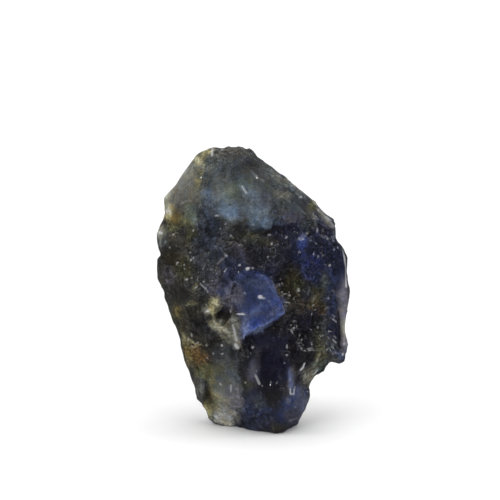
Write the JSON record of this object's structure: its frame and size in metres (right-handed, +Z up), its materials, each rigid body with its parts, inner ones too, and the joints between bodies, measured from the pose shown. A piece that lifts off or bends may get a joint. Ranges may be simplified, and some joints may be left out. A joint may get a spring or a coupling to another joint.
{
  "type": "rough sapphire",
  "caption": "Uncut dark blue and grey sapphire crystal with broken, ledged faces, standing on a small flat spot.",
  "frame": {"origin": "on the flat foot, under the middle of the stone's box", "axes": "+Z up along the stone's longest extent, +X across its broad face, -Y out of the broad face that the picture shows"},
  "size_m": [0.0134, 0.0084, 0.02],
  "materials": {
    "crystal": "glassy and uneven, partly clear, blue to olive grey with rust stains"
  },
  "bodies": {
    "root": {"sapphire": "crystal"}
  },
  "joints": []
}
